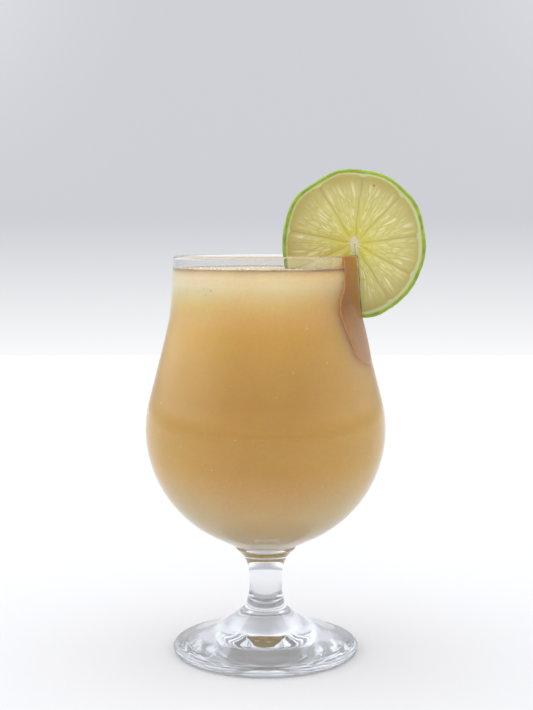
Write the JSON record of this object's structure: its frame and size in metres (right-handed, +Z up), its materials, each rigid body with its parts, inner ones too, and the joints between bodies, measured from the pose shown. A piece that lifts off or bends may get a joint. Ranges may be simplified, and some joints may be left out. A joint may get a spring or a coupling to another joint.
{
  "type": "frozen daiquiri in a glass",
  "caption": "Stemmed tulip glass filled with an opaque tan daiquiri, with a lime wheel slotted over its rim and a thin run of the drink down the wall beside it.",
  "frame": {"origin": "centre of the foot's flat underside, on the glass's axis", "axes": "+Z up along the glass's axis, +X towards the lime wheel, whose flat faces look along -Y and +Y"},
  "size_m": [0.1048, 0.0904, 0.1819],
  "materials": {
    "clear_glass": "clear polished",
    "daiquiri": "smooth and opaque, wet",
    "lime": "moist, slightly translucent",
    "daiquiri_film": "wet film"
  },
  "bodies": {
    "root": {"glass": "clear_glass", "drink": "daiquiri", "lime_wheel": "lime", "drink_spill": "daiquiri_film"}
  },
  "joints": []
}
